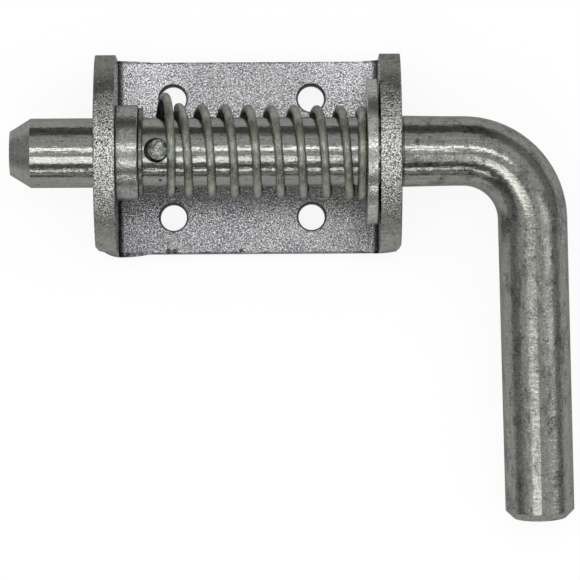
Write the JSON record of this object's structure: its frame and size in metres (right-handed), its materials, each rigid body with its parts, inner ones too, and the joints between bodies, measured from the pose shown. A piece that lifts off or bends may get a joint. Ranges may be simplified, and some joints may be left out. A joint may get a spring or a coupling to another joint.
{
  "type": "spring latch",
  "caption": "Spring-loaded slide bolt: a coned round bar bent into a side handle, sprung in a folded steel bracket with bolt holes in its base.",
  "frame": {"origin": "middle of the bracket's flat back, below the plunger's axis", "axes": "+X along the plunger from its coned tip towards the handle, +Y across the base away from the handle, +Z out of the back towards the ears' tops"},
  "size_m": [0.129, 0.1073, 0.0388],
  "materials": {
    "bracket_zinc": "satin",
    "plunger_zinc": "semi-gloss",
    "pin_zinc": "satin",
    "spring_wire": "satin",
    "washer_zinc": "satin"
  },
  "bodies": {
    "bracket_body": {"bracket": "bracket_zinc", "collar": "washer_zinc", "stop_washer": "washer_zinc"},
    "spring_carrier": {"spring": "spring_wire", "back_washer": "washer_zinc"},
    "plunger_body": {"plunger": "plunger_zinc", "cross_pin": "pin_zinc"}
  },
  "joints": [
    {"name": "handle_turn", "type": "hinge", "parent": "bracket_body", "child": "spring_carrier", "pos_m": [0, 0, 0.0222], "axis": [-1, 0, 0], "continuous": true},
    {"name": "plunger_slide", "type": "slide", "parent": "spring_carrier", "child": "plunger_body", "axis": [1, 0, 0], "range_m": [-0.0012, 0.02], "stiffness_N_per_m": 2700, "deforming": ["spring"]}
  ]
}
